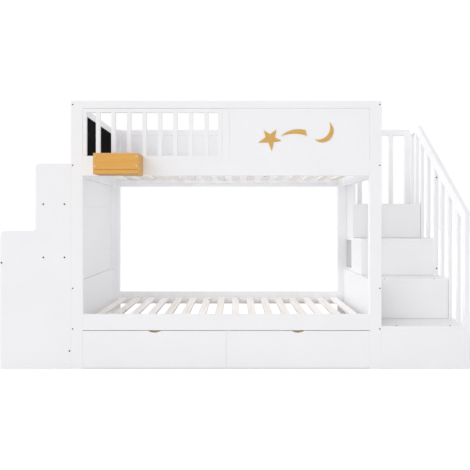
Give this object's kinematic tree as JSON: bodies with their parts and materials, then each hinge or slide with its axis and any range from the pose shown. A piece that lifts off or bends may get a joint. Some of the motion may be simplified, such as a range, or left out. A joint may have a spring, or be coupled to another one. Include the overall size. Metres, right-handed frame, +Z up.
{
  "type": "loft bunk bed",
  "caption": "White wooden bunk bed with a desk end, a storage-stair end with guard rail, rolling under-bed drawers, slatted bases, a blackboard and a hanging tray.",
  "frame": {"origin": "on the floor, under the middle of the whole object's box", "axes": "+X along the bed from the desk end to the staircase end, +Y from the front to the back, +Z up"},
  "size_m": [3.106, 1.125, 1.77],
  "materials": {
    "white_paint": "satin white paint on smooth board",
    "bare_pine": "planed bare pine",
    "brown_board": "smooth hardboard",
    "ochre_paint": "satin ochre paint",
    "blackboard": "matt blackboard paint",
    "dark_bolt": "blackened steel",
    "zinc_screw": "zinc plated",
    "grey_plastic": "moulded"
  },
  "bodies": {
    "frame": {"front_posts": "white_paint", "back_posts": "white_paint", "front_top_rail": "white_paint", "back_top_rail": "white_paint", "front_upper_board": "white_paint", "back_upper_board": "white_paint", "front_lower_rail": "white_paint", "back_lower_rail": "white_paint", "end_top_rails": "white_paint", "end_upper_rails": "white_paint", "end_lower_boards": "white_paint", "left_wall_boards": "white_paint", "guard_frame": "white_paint", "guard_spindles": "white_paint", "guard_mid_stile": "white_paint", "guard_panel": "white_paint", "back_guard_panel": "white_paint", "chalkboard_stiles": "white_paint", "end_guard": "white_paint", "desk_sides": "white_paint", "desk_top": "white_paint", "desk_shelf": "white_paint", "desk_rails": "white_paint", "stair_risers": "white_paint", "stair_treads": "white_paint", "stair_back_panel": "white_paint", "stair_inner_side": "white_paint", "niche_box": "white_paint", "stair_outer_side": "white_paint", "handrail": "white_paint", "stair_posts": "white_paint", "stair_spindles": "white_paint", "landing_guard": "white_paint", "slat_ledgers": "white_paint", "star_plate": "ochre_paint", "comet_plate": "ochre_paint", "moon_plate": "ochre_paint", "tray_base": "ochre_paint", "tray_walls": "ochre_paint", "lower_slats": "bare_pine", "upper_slats": "bare_pine", "chalkboard": "blackboard", "frame_bolts": "dark_bolt", "panel_screws": "dark_bolt", "tray_screws": "zinc_screw"},
    "drawer_left": {"drawer_left_front": "white_paint", "drawer_left_notch_rim": "ochre_paint", "drawer_left_walls": "bare_pine", "drawer_left_floor": "brown_board", "drawer_left_wheel_brackets": "zinc_screw"},
    "drawer_left_front_wheels": {"drawer_left_front_wheels": "grey_plastic"},
    "drawer_left_rear_wheels": {"drawer_left_rear_wheels": "grey_plastic"},
    "drawer_right": {"drawer_right_front": "white_paint", "drawer_right_notch_rim": "ochre_paint", "drawer_right_walls": "bare_pine", "drawer_right_floor": "brown_board", "drawer_right_wheel_brackets": "zinc_screw"},
    "drawer_right_front_wheels": {"drawer_right_front_wheels": "grey_plastic"},
    "drawer_right_rear_wheels": {"drawer_right_rear_wheels": "grey_plastic"}
  },
  "joints": [
    {"name": "drawer_left_slide", "type": "slide", "parent": "frame", "child": "drawer_left", "axis": [0, -1, 0], "range_m": [0, 0.6]},
    {"name": "drawer_left_front_wheels_turn", "type": "hinge", "parent": "drawer_left", "child": "drawer_left_front_wheels", "pos_m": [-0.532, -0.34175, 0.02], "axis": [1, 0, 0], "range_deg": [-1, 1725]},
    {"name": "drawer_left_rear_wheels_turn", "type": "hinge", "parent": "drawer_left", "child": "drawer_left_rear_wheels", "pos_m": [-0.532, 0.17025, 0.02], "axis": [1, 0, 0], "range_deg": [-1, 1725]},
    {"name": "drawer_right_slide", "type": "slide", "parent": "frame", "child": "drawer_right", "axis": [0, -1, 0], "range_m": [0, 0.6]},
    {"name": "drawer_right_front_wheels_turn", "type": "hinge", "parent": "drawer_right", "child": "drawer_right_front_wheels", "pos_m": [0.418, -0.34175, 0.02], "axis": [1, 0, 0], "range_deg": [-1, 1725]},
    {"name": "drawer_right_rear_wheels_turn", "type": "hinge", "parent": "drawer_right", "child": "drawer_right_rear_wheels", "pos_m": [0.418, 0.17025, 0.02], "axis": [1, 0, 0], "range_deg": [-1, 1725]}
  ],
  "couplings": [
    {"joint": "drawer_left_front_wheels_turn", "follows": "drawer_left_slide", "rad_per_m": 50},
    {"joint": "drawer_left_rear_wheels_turn", "follows": "drawer_left_slide", "rad_per_m": 50},
    {"joint": "drawer_right_front_wheels_turn", "follows": "drawer_right_slide", "rad_per_m": 50},
    {"joint": "drawer_right_rear_wheels_turn", "follows": "drawer_right_slide", "rad_per_m": 50}
  ]
}
